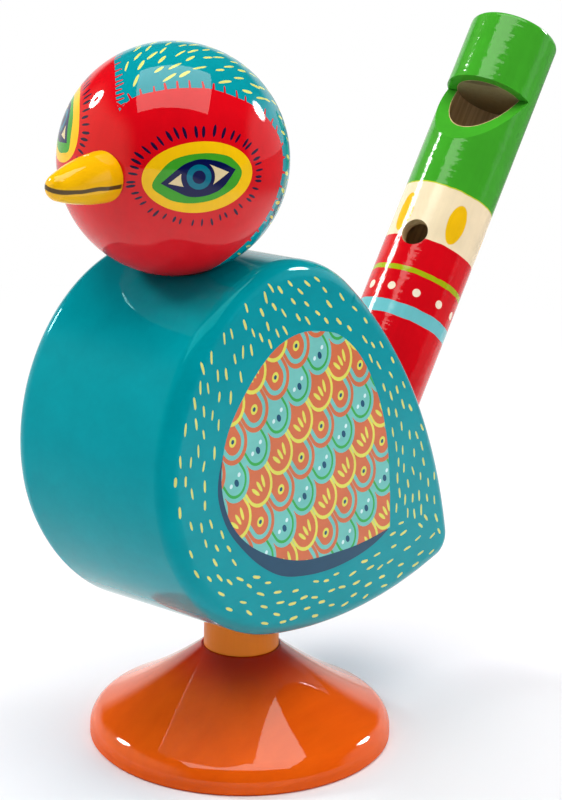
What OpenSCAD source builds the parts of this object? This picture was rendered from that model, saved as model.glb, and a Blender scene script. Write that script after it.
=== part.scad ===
// Painted wooden bird whistle on a turned foot, in millimetres.
// The bird faces -Y, its left side is +X, and +Z is up.
// The origin is the centre of the foot's underside.

/* [Foot] */
// Radius of the foot at its rim
foot_r = 29; // [26:0.5:34]
// Height of the foot
foot_h = 18; // [15:0.2:24]
// Radius of the foot's flat top round the stem
foot_top_r = 8; // [7.9:0.1:9]
// Rounding of the foot's upper rim
foot_rim_r = 4.2; // [3:0.1:5]
// Height of the upright band under the rounded rim
foot_band_h = 1.7; // [1.2:0.1:2.4]
// Rounding of the edge of the foot's flat top
foot_shoulder_r = 0.6; // [0.4:0.1:0.7]
// Radius of the hollow curve of the foot's slope
foot_slope_r = 120; // [60:1:200]
// Chamfer of the foot's bottom edge
foot_chamfer = 0.4; // [0.2:0.1:0.6]

/* [Stem] */
// Radius of the dowel between foot and body
stem_r = 7.2; // [5:0.1:7.4]
// Length of stem that shows between foot and body
stem_show = 7.1; // [4:0.1:12]
// Depth of the stem's hole in the foot
stem_foot_depth = 12; // [8:0.5:13]
// Depth of the stem's hole in the body
stem_body_depth = 14; // [8:0.5:18]

/* [Body] */
// Thickness of the body board
body_t = 35.5; // [30:0.5:44]
// Radius of the breast curve
breast_r = 32.4; // [30:0.1:35]
// Radius of the belly curve
belly_r = 42.7; // [40:0.1:46]
// Direction from the breast's centre where the breast curve becomes the belly curve
belly_angle = 207; // [200:1:215]
// Radius of the long curve of the back
back_r = 100.7; // [90:0.1:120]
// Radius of the long curve of the underside
keel_r = 116.6; // [100:0.1:140]
// Radius of the tail's rounded tip
tail_r = 5; // [4.5:0.1:6]
// Distance of the tail tip's centre behind the breast's centre
tail_back = 51.5; // [48:0.5:55]
// Distance of the tail tip's centre below the breast's centre
tail_drop = 31.8; // [29:0.2:34]
// Rounding of the board's edges
edge_r = 3.2; // [1.5:0.1:4]
// Distance of the stem behind the breast's centre
stem_back = 10.6; // [6:0.2:16]

/* [Head] */
// Radius of the ball that makes the head
head_r = 20; // [18:0.5:22]
// Depth to which the ball sits in its dish on the body
head_sink = 1.8; // [1:0.1:3]
// Forward lean of the neck from upright, in degrees
neck_lean = 11.8; // [0:0.1:20]
// Turn of the head towards the bird's left, in degrees
head_turn = 4; // [-30:1:30]

/* [Neck dowel] */
// Radius of the hidden dowel between body and head
neck_r = 4; // [3:0.1:5]
// Depth of the neck dowel in each of the two pieces
neck_depth = 12; // [8:0.5:14]

/* [Beak] */
// Length of the beak from the ball's surface to the tip
beak_len = 13; // [10:0.5:18]
// Radius of the beak where it leaves the ball
beak_base_r = 4.3; // [4:0.1:5.5]
// Rounding of the beak's tip
beak_tip_r = 2.3; // [1.6:0.1:2.8]
// Radius of the bulging curve along the beak's side
beak_side_r = 42; // [30:1:80]
// Angle of the beak below the level, in degrees
beak_drop = 1.6; // [-5:0.2:15]
// Radius of the beak's tenon
beak_tenon_r = 2.5; // [2:0.1:3.5]
// Length of the beak's tenon in the ball
beak_tenon_len = 8; // [5:0.5:10]

/* [Whistle tube] */
// Outer radius of the whistle tube
tube_r = 9.5; // [9:0.1:11]
// Length of the whistle tube from its lower end to the mouth
tube_len = 109; // [100:0.5:120]
// Wall of the whistle tube round its bore
tube_wall = 2.3; // [1.8:0.1:3]
// Backward tilt of the tube from upright, in degrees
tube_tilt = 35.3; // [30:0.1:40]
// Turn of the window and finger hole towards the bird's left, in degrees
tube_turn = 7; // [-20:1:20]
// Depth of the bore from the mouth to its closed end
bore_len = 65; // [58:0.5:75]
// Rounding of the outer edge at the mouth
mouth_round = 1; // [0.4:0.1:1.4]
// Distance of the socket's floor behind the breast's centre
socket_back = 38.5; // [37:0.1:40]
// Distance of the socket's floor below the breast's centre
socket_drop = 25.2; // [24:0.1:27]

/* [Window and finger hole] */
// Length of the mouthpiece from the mouth to the window's step
mouthpiece_len = 15.6; // [12:0.2:20]
// Length of the window along the tube
window_len = 14.7; // [13:0.1:18]
// Depth of the window's step
window_depth = 8.3; // [6:0.1:9]
// Distance of the finger hole's centre from the mouth
finger_hole_place = 52; // [45:0.5:54]
// Radius of the finger hole
finger_hole_r = 2.8; // [2:0.1:3.5]

/* [Fipple block] */
// Height of the windway above the block's flat
windway_h = 1.6; // [1:0.1:2.4]

/* [Fits] */
// Gap round each glued dowel, block and tube, and round the ball and beak
glue_gap = 0.05; // [0.03:0.01:0.1]
// Room for glue at the floor of each blind hole
glue_room = 0.4; // [0.2:0.1:0.8]

/* [Hidden] */
// Number of steps round a circle where a curve is drawn
$fn = 96;
// Number of steps round the board's rounded edge, for a quarter turn
edge_steps = 5;
// Length by which a cut runs past the surface that it opens
cut_over = 1;

foot_paint = [0.87, 0.36, 0.07];
stem_paint = [0.88, 0.5, 0.14];
body_paint = [0, 0.55, 0.6];
head_paint = [0.82, 0.06, 0.1];
beak_paint = [0.97, 0.78, 0.08];
tube_paint = [0.22, 0.62, 0.13];
bare_wood = [0.72, 0.54, 0.36];

// Direction of a line from the origin to a point
function angle_of(v) = atan2(v.y, v.x);
// Point at a distance and direction from another
function polar(centre, r, a) = centre + r * [cos(a), sin(a)];

// Centre of a circle of radius r that touches two circles that lie inside it.
// A negative radius stands for a circle that lies outside it.
function touching_centre(ca, ra, cb, rb, r, side) =
    let (d = norm(cb - ca),
         u = (cb - ca) / d,
         along = ((r - ra) ^ 2 - (r - rb) ^ 2 + d ^ 2) / (2 * d),
         off = sqrt((r - ra) ^ 2 - along ^ 2))
    ca + u * along + side * off * [-u.y, u.x];

// Profile of the foot: radius across and height up
rim_centre = [foot_r - foot_rim_r, foot_band_h];
shoulder_centre = [foot_top_r - foot_shoulder_r, foot_h - foot_shoulder_r];
slope_centre = touching_centre(rim_centre, -foot_rim_r, shoulder_centre, -foot_shoulder_r,
                               foot_slope_r, -1);
rim_touch = polar(rim_centre, foot_rim_r, angle_of(slope_centre - rim_centre));
shoulder_touch = polar(shoulder_centre, foot_shoulder_r, angle_of(slope_centre - shoulder_centre));

// Outline of the body seen from its left side, about the breast's centre
belly_off = (breast_r - belly_r) * [cos(belly_angle), sin(belly_angle)];
tail_off = [tail_back, -tail_drop];
back_off = touching_centre([0, 0], breast_r, tail_off, tail_r, back_r, -1);
keel_off = touching_centre(belly_off, belly_r, tail_off, tail_r, keel_r, 1);
// Height of the breast's centre over the underside at the stem
keel_depth = sqrt(keel_r ^ 2 - (stem_back - keel_off.x) ^ 2) - keel_off.y;
breast = [-stem_back, foot_h + stem_show + keel_depth];

back_start = angle_of(-back_off);
back_end = angle_of(tail_off - back_off);
keel_start = angle_of(belly_off - keel_off);
keel_end = angle_of(tail_off - keel_off);

// Each curve of the outline: centre, radius, first and last direction, number of steps
outline_arcs = [
    [[0, 0], breast_r, back_start, belly_angle, 36],
    [belly_off, belly_r, belly_angle, keel_start + 360, 12],
    [keel_off, keel_r, keel_start, keel_end, 12],
    [tail_off, tail_r, keel_end, back_end, 12],
    [back_off, back_r, back_end, back_start, 18]
];

// Places of the pieces that the body carries
stem_bottom = foot_h - stem_foot_depth;
stem_top = foot_h + stem_show + stem_body_depth;
seat_dist = breast_r - head_sink;
head_dist = seat_dist + head_r;
bore_r = tube_r - tube_wall;
block_r = bore_r - glue_gap;
step_place = tube_len - mouthpiece_len;

// Plane of the body's side, with the board's thickness along X
module side_on() {
    translate([0, breast.x, breast.y]) rotate([90, 0, 90]) children();
}

// Frame whose Z runs from the breast's centre to the head's centre
module along_neck() {
    translate([0, breast.x, breast.y]) rotate([neck_lean, 0, 0]) children();
}

// Frame of the ball, level again, turned with the head, facing -Y
module at_head() {
    along_neck() translate([0, 0, head_dist]) rotate([-neck_lean, 0, 0])
        rotate([0, 0, head_turn]) children();
}

// Frame whose Z runs out along the beak from the ball's centre
module along_beak() {
    at_head() rotate([90 + beak_drop, 0, 0]) children();
}

// Frame of the whistle tube: Z up the tube from its lower end, front at -Y
module along_tube() {
    translate([0, breast.x + socket_back, breast.y - socket_drop])
        rotate([-tube_tilt, 0, 0]) rotate([0, 0, tube_turn]) children();
}

module foot_profile() {
    difference() {
        polygon([[0, 0], [foot_r - foot_chamfer, 0], [foot_r, foot_chamfer], [foot_r, foot_band_h],
                 rim_centre, rim_touch, shoulder_touch, shoulder_centre,
                 [shoulder_centre.x, foot_h], [0, foot_h]]);
        translate(slope_centre) circle(r = foot_slope_r);
    }
    translate(rim_centre) circle(r = foot_rim_r);
    translate(shoulder_centre) circle(r = foot_shoulder_r);
}

module foot() {
    color(foot_paint) difference() {
        rotate_extrude() foot_profile();
        translate([0, 0, stem_bottom]) cylinder(r = stem_r + glue_gap, h = stem_foot_depth + cut_over);
    }
}

module stem() {
    color(stem_paint) translate([0, 0, stem_bottom])
        cylinder(r = stem_r, h = stem_top - glue_room - stem_bottom);
}

// The board's outline, drawn in from its edge
function inset_outline(inset) = [
    for (arc = outline_arcs, i = [0 : arc[4] - 1])
        polar(arc[0], arc[1] - inset, arc[2] + (arc[3] - arc[2]) * i / arc[4])
];

// One layer of the rounded edge, up from the middle plane for a side of 1, down for -1
function edge_layer(side, turn) = [
    for (p = inset_outline(edge_r * (1 - cos(turn))))
        [p.x, p.y, side * (body_t / 2 - edge_r * (1 - sin(turn)))]
];

// The board: layers of its outline, from one side's rounded edge to the other's
module board() {
    turns = [for (k = [0 : edge_steps]) 90 * k / edge_steps];
    layers = concat([for (k = [edge_steps : -1 : 0]) edge_layer(-1, turns[k])],
                    [for (k = [0 : edge_steps]) edge_layer(1, turns[k])]);
    count = len(layers[0]);
    last = len(layers) - 1;
    sides = [for (k = [0 : last - 1], i = [0 : count - 1], half = [0, 1])
        let (a = k * count + i, b = k * count + (i + 1) % count)
        half == 0 ? [a, a + count, b] : [b, a + count, b + count]];
    ends = [[for (i = [0 : count - 1]) i], [for (i = [count - 1 : -1 : 0]) last * count + i]];
    side_on() polyhedron([for (layer = layers, p = layer) p], concat(sides, ends));
}

module body() {
    color(body_paint) difference() {
        board();
        cylinder(r = stem_r + glue_gap, h = stem_top);
        along_neck() translate([0, 0, seat_dist - neck_depth])
            cylinder(r = neck_r + glue_gap, h = neck_depth + cut_over);
        along_neck() translate([0, 0, head_dist]) sphere(r = head_r + glue_gap);
        along_tube() cylinder(r = tube_r + glue_gap, h = tube_len);
    }
}

module neck_dowel() {
    color(bare_wood) along_neck() translate([0, 0, seat_dist - neck_depth])
        cylinder(r = neck_r, h = 2 * neck_depth - glue_room);
}

module head() {
    color(head_paint) difference() {
        along_neck() translate([0, 0, head_dist]) sphere(r = head_r);
        along_neck() translate([0, 0, seat_dist - cut_over])
            cylinder(r = neck_r + glue_gap, h = neck_depth + cut_over);
        along_beak() translate([0, 0, head_r - beak_tenon_len])
            cylinder(r = beak_tenon_r + glue_gap, h = beak_tenon_len + cut_over);
    }
}

// Half section of the beak: radius across, distance from the ball's centre up
module beak_profile() {
    base = [beak_base_r, head_r];
    tip = [0, head_r + beak_len - beak_tip_r];
    side = touching_centre(base, 0, tip, beak_tip_r, beak_side_r, 1);
    touch = polar(tip, beak_tip_r, angle_of(tip - side));
    root = sqrt(head_r ^ 2 - beak_base_r ^ 2) - glue_gap;
    translate([0, root]) square([beak_base_r, head_r - root]);
    intersection() {
        translate([0, head_r]) square([beak_side_r, touch.y - head_r]);
        translate(side) circle(r = beak_side_r);
    }
    intersection() {
        translate(tip) circle(r = beak_tip_r);
        translate([0, touch.y]) square([beak_tip_r, beak_tip_r]);
    }
}

module beak() {
    color(beak_paint) along_beak() {
        difference() {
            rotate_extrude() beak_profile();
            sphere(r = head_r + glue_gap);
        }
        translate([0, 0, head_r - beak_tenon_len + glue_room])
            cylinder(r = beak_tenon_r, h = beak_tenon_len);
    }
}

module tube_profile() {
    square([tube_r, tube_len - mouth_round]);
    square([tube_r - mouth_round, tube_len]);
    translate([tube_r - mouth_round, tube_len - mouth_round]) circle(r = mouth_round);
}

// Wedge that opens the window: an upright step above and a ramp below it
module window_cut() {
    slope = window_len / window_depth;
    translate([-tube_r - cut_over, 0, 0]) rotate([90, 0, 90]) linear_extrude(2 * (tube_r + cut_over))
        polygon([[window_depth - tube_r, step_place],
                 [-tube_r - cut_over, step_place],
                 [-tube_r - cut_over, step_place - window_len - cut_over * slope]]);
}

module whistle_tube() {
    color(tube_paint) along_tube() difference() {
        rotate_extrude() tube_profile();
        translate([0, 0, tube_len - bore_len]) cylinder(r = bore_r, h = bore_len + cut_over);
        window_cut();
        translate([0, 0, tube_len - finger_hole_place]) rotate([90, 0, 0])
            cylinder(r = finger_hole_r, h = tube_r + cut_over);
    }
}

module fipple_block() {
    color(bare_wood) along_tube() translate([0, 0, step_place]) difference() {
        cylinder(r = block_r, h = mouthpiece_len);
        translate([-block_r, -block_r - bore_r + windway_h, -cut_over])
            cube([2 * block_r, block_r, mouthpiece_len + 2 * cut_over]);
    }
}

foot();
stem();
body();
neck_dowel();
head();
beak();
whistle_tube();
fipple_block();
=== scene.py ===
import math
import random

import bpy
import numpy as np
from mathutils import Matrix, geometry

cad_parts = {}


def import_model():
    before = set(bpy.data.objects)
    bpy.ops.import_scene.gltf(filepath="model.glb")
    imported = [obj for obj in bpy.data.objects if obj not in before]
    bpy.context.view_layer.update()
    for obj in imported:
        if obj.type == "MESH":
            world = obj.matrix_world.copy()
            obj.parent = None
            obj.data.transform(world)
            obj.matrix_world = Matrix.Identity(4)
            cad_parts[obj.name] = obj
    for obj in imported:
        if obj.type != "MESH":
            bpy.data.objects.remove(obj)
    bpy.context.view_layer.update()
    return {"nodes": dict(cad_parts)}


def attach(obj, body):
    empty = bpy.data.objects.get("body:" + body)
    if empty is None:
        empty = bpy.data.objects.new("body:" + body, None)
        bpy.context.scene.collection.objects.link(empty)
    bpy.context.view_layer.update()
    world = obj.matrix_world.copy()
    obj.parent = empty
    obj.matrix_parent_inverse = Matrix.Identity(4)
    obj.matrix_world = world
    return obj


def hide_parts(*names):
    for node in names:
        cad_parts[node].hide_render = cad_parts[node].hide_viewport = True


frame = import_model()

# Lengths are in millimetres until a mesh is made. +Z is up, the bird faces -Y, its left side is +X.
MM = 0.001
X_AXIS, Y_AXIS, Z_AXIS = np.eye(3)

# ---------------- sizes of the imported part

FOOT_TOP, STEM_SHOW, STEM_BACK, STEM_R, STEM_TOP = 18.0, 7.1, 10.6, 7.25, 39.1
BREAST_R, BELLY_R, BELLY_ANGLE = 32.4, 42.7, 207.0
BACK_R, KEEL_R, TAIL_R = 100.7, 116.6, 5.0
TAIL_OFF = np.array([51.5, -31.8])
HALF_T, EDGE_R = 17.75, 3.2
HEAD_R, HEAD_SINK, NECK_LEAN, HEAD_TURN = 20.0, 1.8, 11.8, 4.0
NECK_R, NECK_DEPTH = 4.05, 12.0
BEAK_DROP, TENON_R, TENON_DEPTH = 1.6, 2.55, 8.0
TUBE_R, TUBE_LEN, TUBE_TILT, TUBE_TURN = 9.5, 109.0, 35.3, 7.0
TUBE_BACK, TUBE_DROP = 38.5, 25.2
BORE_R, FINGER_HOLE_R, FINGER_HOLE_AT = 7.0, 2.8, 57.0
GAP = 0.05


def touching_centre(ca, ra, cb, rb, r, side):
    """Centre of a circle of radius r that touches two circles lying inside it."""
    d = np.linalg.norm(cb - ca)
    u = (cb - ca) / d
    along = ((r - ra) ** 2 - (r - rb) ** 2 + d**2) / (2 * d)
    off = math.sqrt((r - ra) ** 2 - along**2)
    return ca + u * along + side * off * np.array([-u[1], u[0]])


def angle_of(v):
    return math.degrees(math.atan2(v[1], v[0]))


def ray2(a):
    """Direction in a plane, a degrees from its first axis."""
    return np.array([math.cos(math.radians(a)), math.sin(math.radians(a))])


def heading(az, el):
    """Direction at an azimuth from the front (-Y) towards the left (+X) and an elevation, in degrees."""
    a, e = math.radians(az), math.radians(el)
    return np.array([math.sin(a) * math.cos(e), -math.cos(a) * math.cos(e), math.sin(e)])


belly_off = (BREAST_R - BELLY_R) * ray2(BELLY_ANGLE)
back_off = touching_centre(np.zeros(2), BREAST_R, TAIL_OFF, TAIL_R, BACK_R, -1)
keel_off = touching_centre(belly_off, BELLY_R, TAIL_OFF, TAIL_R, KEEL_R, 1)
keel_depth = math.sqrt(KEEL_R**2 - (STEM_BACK - keel_off[0]) ** 2) - keel_off[1]
BREAST = np.array([-STEM_BACK, FOOT_TOP + STEM_SHOW + keel_depth])
back_start, back_end = angle_of(-back_off), angle_of(TAIL_OFF - back_off)
keel_start, keel_end = angle_of(belly_off - keel_off), angle_of(TAIL_OFF - keel_off)
# Centre, radius, first and last direction of each curve of the body's outline, in (y, z)
ARCS = [
    (BREAST, BREAST_R, back_start, BELLY_ANGLE),
    (BREAST + belly_off, BELLY_R, BELLY_ANGLE, keel_start + 360),
    (BREAST + keel_off, KEEL_R, keel_start, keel_end),
    (BREAST + TAIL_OFF, TAIL_R, keel_end, back_end),
    (BREAST + back_off, BACK_R, back_end, back_start),
]

lean_cos, lean_sin = ray2(NECK_LEAN)
NECK_UP = np.array([0.0, -lean_sin, lean_cos])
BREAST3 = np.array([0.0, *BREAST])
HEAD = BREAST3 + (BREAST_R - HEAD_SINK + HEAD_R) * NECK_UP
BEAK_OUT = heading(HEAD_TURN, -BEAK_DROP)
tilt_cos, tilt_sin = ray2(TUBE_TILT)
turn_cos, turn_sin = ray2(TUBE_TURN)
TUBE_FOOT = np.array([0.0, BREAST[0] + TUBE_BACK, BREAST[1] - TUBE_DROP])
TUBE_UP = np.array([0.0, tilt_sin, tilt_cos])
tube_front = np.array([0.0, -tilt_cos, tilt_sin])
TUBE_FRONT = turn_cos * tube_front + turn_sin * X_AXIS
TUBE_SIDE = turn_cos * X_AXIS - turn_sin * tube_front


def srgb(r, g, b):
    """Linear colour of 0 to 255 screen values."""
    c = np.array([r, g, b]) / 255
    return tuple(np.where(c <= 0.04045, c / 12.92, ((c + 0.055) / 1.055) ** 2.4)) + (1.0,)


TEAL, RED, YELLOW = srgb(0, 147, 158), srgb(216, 4, 20), srgb(250, 196, 8)
GREEN, NAVY, IRIS, CREAM = srgb(62, 160, 38), srgb(4, 14, 72), srgb(0, 112, 134), srgb(228, 208, 158)
LASH, DASH, PALE_TEAL = srgb(28, 12, 52), srgb(222, 222, 120), srgb(118, 196, 188)
WING_ORANGE, WING_YELLOW, WING_NAVY = srgb(214, 110, 70), srgb(226, 222, 92), srgb(34, 78, 112)
WING_GREEN, WING_WHITE, CRESCENT = srgb(64, 172, 78), srgb(214, 240, 240), srgb(44, 70, 100)
CREAM_BAND, LIME, PALE_LIME = srgb(246, 224, 186), srgb(168, 182, 14), srgb(196, 200, 40)
PALE_BLUE, OVAL, DOT = srgb(112, 192, 198), srgb(246, 190, 14), srgb(250, 232, 206)
RAW_WOOD, DRILLED_WOOD = srgb(190, 148, 104), srgb(120, 84, 66)

# ---------------- camera


def link(name, data):
    """A new object in the scene."""
    obj = bpy.data.objects.new(name, data)
    bpy.context.scene.collection.objects.link(obj)
    return obj


def pose(right, up, back, place):
    """The matrix of an object whose x, y and z axes point in three directions."""
    return Matrix([(right[i], up[i], back[i], place[i]) for i in range(3)] + [(0, 0, 0, 1)])


def make_camera():
    """The photograph's camera, fitted to the object. Its place is in metres."""
    data = bpy.data.cameras.new("photo_camera")
    data.lens, data.sensor_width, data.clip_start = 90, 36, 0.01
    cam = link("photo_camera", data)
    cam.matrix_world = pose(
        (0.79506, 0.60619, 0.02017), (-0.17893, 0.20266, 0.96276), (0.57953, -0.76907, 0.26959),
        (0.220443, -0.281477, 0.166527),
    )
    bpy.context.scene.camera = cam


make_camera()

# ---------------- curves and shapes in the plane


def spline(points, per, closed=True, corners=()):
    """Smooth curve through points, in per steps each; it turns sharply at the points in corners."""
    p = [np.array(q, float) for q in points]
    n = len(p)
    out = []
    for i in range(n if closed else n - 1):
        b, c = p[i], p[(i + 1) % n]
        a = p[i - 1] if (closed or i) else b
        d = p[(i + 2) % n] if (closed or i + 2 < n) else c
        m0 = (c - b) if i in corners else (c - a) / 2
        m1 = (c - b) if (i + 1) % n in corners else (d - b) / 2
        for k in range(per):
            t = k / per
            out.append(
                (2 * t**3 - 3 * t**2 + 1) * b + (t**3 - 2 * t**2 + t) * m0
                + (3 * t**2 - 2 * t**3) * c + (t**3 - t**2) * m1
            )
    if not closed:
        out.append(p[-1])
    return np.array(out)


def circle(n):
    """n angles evenly round a circle."""
    return np.linspace(0, 2 * math.pi, n, endpoint=False)


def ellipse(centre, a, b, n):
    t = circle(n)
    return np.array(centre) + np.stack([a * np.cos(t), b * np.sin(t)], -1)


def leaf(length, width, blunt, n):
    """A dash of paint along x: widest in its middle, with rounded ends."""
    t = np.linspace(-1, 1, 2 * n + 1)
    half = width / 2 * (1 - np.abs(t) ** (2 / blunt)) ** 0.6
    x = t * length / 2
    top = np.stack([x, half], -1)
    low = np.stack([x[1:-1], -half[1:-1]], -1)[::-1]
    return np.concatenate([top, low])[::-1]


def put(shape, place, a, bend=0.0):
    """A plane shape bent a little, turned by a degrees and moved to a place."""
    s = shape.copy()
    s[:, 1] += bend * s[:, 0] ** 2
    c, w = ray2(a)
    return s @ np.array([[c, w], [-w, c]]) + np.array(place)


def ccw(p):
    """An outline, run counter-clockwise."""
    q = np.roll(p, -1, 0)
    return p if np.sum(p[:, 0] * q[:, 1] - q[:, 0] * p[:, 1]) > 0 else p[::-1]


def away(points, curve):
    """Least distance of each point from a closed polyline, and the direction along it there."""
    a, b = curve, np.roll(curve, -1, 0)
    ab = b - a
    p = np.atleast_2d(points)[:, None]
    t = np.clip(((p - a) * ab).sum(-1) / (ab**2).sum(-1), 0, 1)
    d = np.linalg.norm(p - (a + t[..., None] * ab), axis=-1)
    k = d.argmin(1)
    return d.min(1), np.degrees(np.arctan2(ab[k, 1], ab[k, 0]))


def inside(points, curve):
    """Which points lie inside a closed polyline."""
    p = np.atleast_2d(points)
    a, b = curve, np.roll(curve, -1, 0)
    x, y = p[:, :1], p[:, 1:]
    with np.errstate(divide="ignore", invalid="ignore"):
        crosses = ((a[:, 1] > y) != (b[:, 1] > y)) & (
            x < (b[:, 0] - a[:, 0]) * (y - a[:, 1]) / (b[:, 1] - a[:, 1]) + a[:, 0]
        )
    return crosses.sum(1) % 2 == 1


def inlay(shapes, loose, whole):
    """Triangles of one flat picture.

    shapes is [(paint, outline, number of the shape that clips it, or None)], painted in that order, and
    loose is further points. whole keeps all within the hull, and otherwise what lies in shape 0 is kept.
    Returns the points, the triangles, their paints and the numbers of the input points at each point.
    """
    points, faces = [], []
    for _, outline, _ in shapes:
        p = ccw(np.array(outline))
        faces.append(list(range(len(points), len(points) + len(p))))
        points += [tuple(q) for q in p]
    points += [tuple(q) for q in loose]
    got = geometry.delaunay_2d_cdt(points, [], faces, 0 if whole else 1, 1e-5, True)
    paints, tris = [], []
    for tri, over in zip(got[2], got[5]):
        if not whole and 0 not in over:
            continue
        tris.append(tuple(tri))
        paint = 0
        for k in sorted(over, reverse=True):
            if shapes[k][2] is None or shapes[k][2] in over:
                paint = shapes[k][0]
                break
        paints.append(paint)
    return np.array([tuple(v) for v in got[0]]), tris, paints, got[3]


# ---------------- meshes


def new_object(name, points, faces, colours=None, normals=None, slots=None, materials=()):
    """A mesh object from points in millimetres, with one colour and one list of corner normals per face."""
    used = sorted({i for f in faces for i in f})
    number = {i: k for k, i in enumerate(used)}
    mesh = bpy.data.meshes.new(name)
    corners = [tuple(float(c) * MM for c in points[i]) for i in used]
    mesh.from_pydata(corners, [], [[number[i] for i in f] for f in faces])
    for m in materials:
        mesh.materials.append(m)
    if slots is not None:
        mesh.polygons.foreach_set("material_index", slots)
    mesh.polygons.foreach_set("use_smooth", [True] * len(faces))
    if colours is not None:
        layer = mesh.color_attributes.new("paint", "FLOAT_COLOR", "CORNER")
        flat = [c for f, col in zip(faces, colours) for _ in f for c in col]
        layer.data.foreach_set("color", flat)
    mesh.update()
    if normals is not None:
        mesh.normals_split_custom_set([tuple(n) for face in normals for n in face])
    return link(name, mesh)


def face_normal(points, face):
    p = [points[i] for i in face]
    n = np.zeros(3)
    for a, b in zip(p, p[1:] + p[:1]):
        n += np.cross(a, b)
    return n / (np.linalg.norm(n) or 1.0)


def square_to(axis):
    """Two directions square to an axis, so that they and the axis are right-handed."""
    a = np.cross(axis, X_AXIS if abs(axis[0]) < 0.9 else Y_AXIS)
    a /= np.linalg.norm(a)
    return a, np.cross(axis, a)


def rod(origin, axis, r, z0, z1, n=96):
    """Points and faces of a plain rod, used only to cut."""
    a, b = square_to(axis)
    points = []
    for z in (z0, z1):
        points += [origin + axis * z + r * (math.cos(t) * a + math.sin(t) * b) for t in circle(n)]
    faces = [[i, (i + 1) % n, n + (i + 1) % n, n + i] for i in range(n)]
    return points, faces + [list(range(n))[::-1], list(range(n, 2 * n))]


def ball(centre, r):
    """Points and faces of a ball, used only to cut."""
    n, rings = 128, 64
    points = [centre + r * Z_AXIS]
    for k in range(1, rings):
        p = math.pi * k / rings
        for i in range(n):
            t = 2 * math.pi * i / n
            out = np.array([math.sin(p) * math.cos(t), math.sin(p) * math.sin(t), math.cos(p)])
            points.append(centre + r * out)
    points.append(centre - r * Z_AXIS)
    faces = []
    for i in range(n):
        j = (i + 1) % n
        faces.append([0, 1 + i, 1 + j])
        for k in range(rings - 2):
            a, b = 1 + k * n, 1 + (k + 1) * n
            faces.append([a + i, b + i, b + j, a + j])
        faces.append([1 + (rings - 2) * n + i, len(points) - 1, 1 + (rings - 2) * n + j])
    return points, faces


# ---------------- body board

# Steps along each curve of the body's outline: how many at least, and how long at most
LEAST_STEPS, LONGEST_STEP = 20, 1.1
TOUCH = 1e-3  # points closer than this are at one height


def outline(inset):
    """The body's outline in (y, z), moved inwards by inset."""
    out = []
    for centre, r, a0, a1 in ARCS:
        n = max(LEAST_STEPS, math.ceil(math.radians(abs(a1 - a0)) * r / LONGEST_STEP))
        out += [centre + (r - inset) * ray2(a0 + (a1 - a0) * i / n) for i in range(n)]
    return np.array(out)


def skin_normal(p):
    """Direction out of the rounded board at a point on its skin."""
    rise = min(max(1 - (HALF_T - abs(p[0])) / EDGE_R, 0.0), 1.0)
    if rise > 0.9999:
        return math.copysign(1, p[0]) * X_AXIS
    q = p[1:]
    best = None
    for centre, r, a0, a1 in ARCS:
        a = angle_of(q - centre)
        lo, hi = min(a0, a1), max(a0, a1)
        beyond = min(abs((a + 360 * k) - (lo + hi) / 2) - (hi - lo) / 2 for k in (-1, 0, 1, 2))
        reach = np.linalg.norm(q - centre)
        if beyond < 0.05 and (best is None or abs(r - reach) < best[0]):
            best = (abs(r - reach), (q - centre) / reach)
    flat = math.sqrt(1 - rise * rise)
    return np.array([math.copysign(rise, p[0]), *(flat * best[1])])


# The wing panel and the dark crescent under it, in (y, z), drawn a little too low
PRINT_UP = [0, 0.4]
PANEL = spline(
    [(-0.9, 82.1), (5.3, 80.1), (11.8, 74.9), (17.2, 67.3), (20.8, 58.5), (22.6, 48.5), (23.3, 38.7),
     (14.5, 38.2), (6.5, 38.5), (-4.4, 39.8), (-13.5, 43.0), (-20.8, 47.2), (-25.6, 52.0), (-28.2, 57.4),
     (-28.8, 63.0), (-27.2, 69.0), (-23.2, 74.4), (-18.1, 79.1), (-13.0, 81.9), (-7.0, 82.9)],
    6, corners=(6,),
)[::-1] + PRINT_UP
MOON = spline(
    [(-28.6, 65.2), (-29.7, 61.0), (-29.4, 57.0), (-27.0, 51.8), (-23.0, 47.2), (-17.5, 42.4), (-11.0, 38.6),
     (-3.5, 36.6), (4.0, 35.7), (11.5, 35.8), (18.0, 36.8), (23.3, 38.7), (10.0, 44.0), (-10.0, 50.0),
     (-24.0, 60.0)],
    5, corners=(0, 11),
) + PRINT_UP

# Slant of the dashes above the wing panel, by their direction from its middle: 0 is to the tail, 90 up and
# 180 to the breast. Elsewhere they follow the rim and the panel's edge.
SHOULDER = (
    (20, 50, 70, 85, 100, 115, 130, 150, 172),
    (124, 128, 142, 143, 135, 118, 99, 94, 92),
)
DASH_TRIES = 5200
# Room that a dash keeps to the next, along and across it, and to the edges
DASH_ALONG, DASH_ACROSS = 3.25, 2.0
TO_RIM, TO_PANEL, TO_MOON = 3.0, 1.7, 1.4
# At the breast the dashes go closer to the rim: by how much, where, and over how many degrees
BREAST_CLOSER, BREAST_AT, BREAST_WIDE = 1.2, 200, 80


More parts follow.
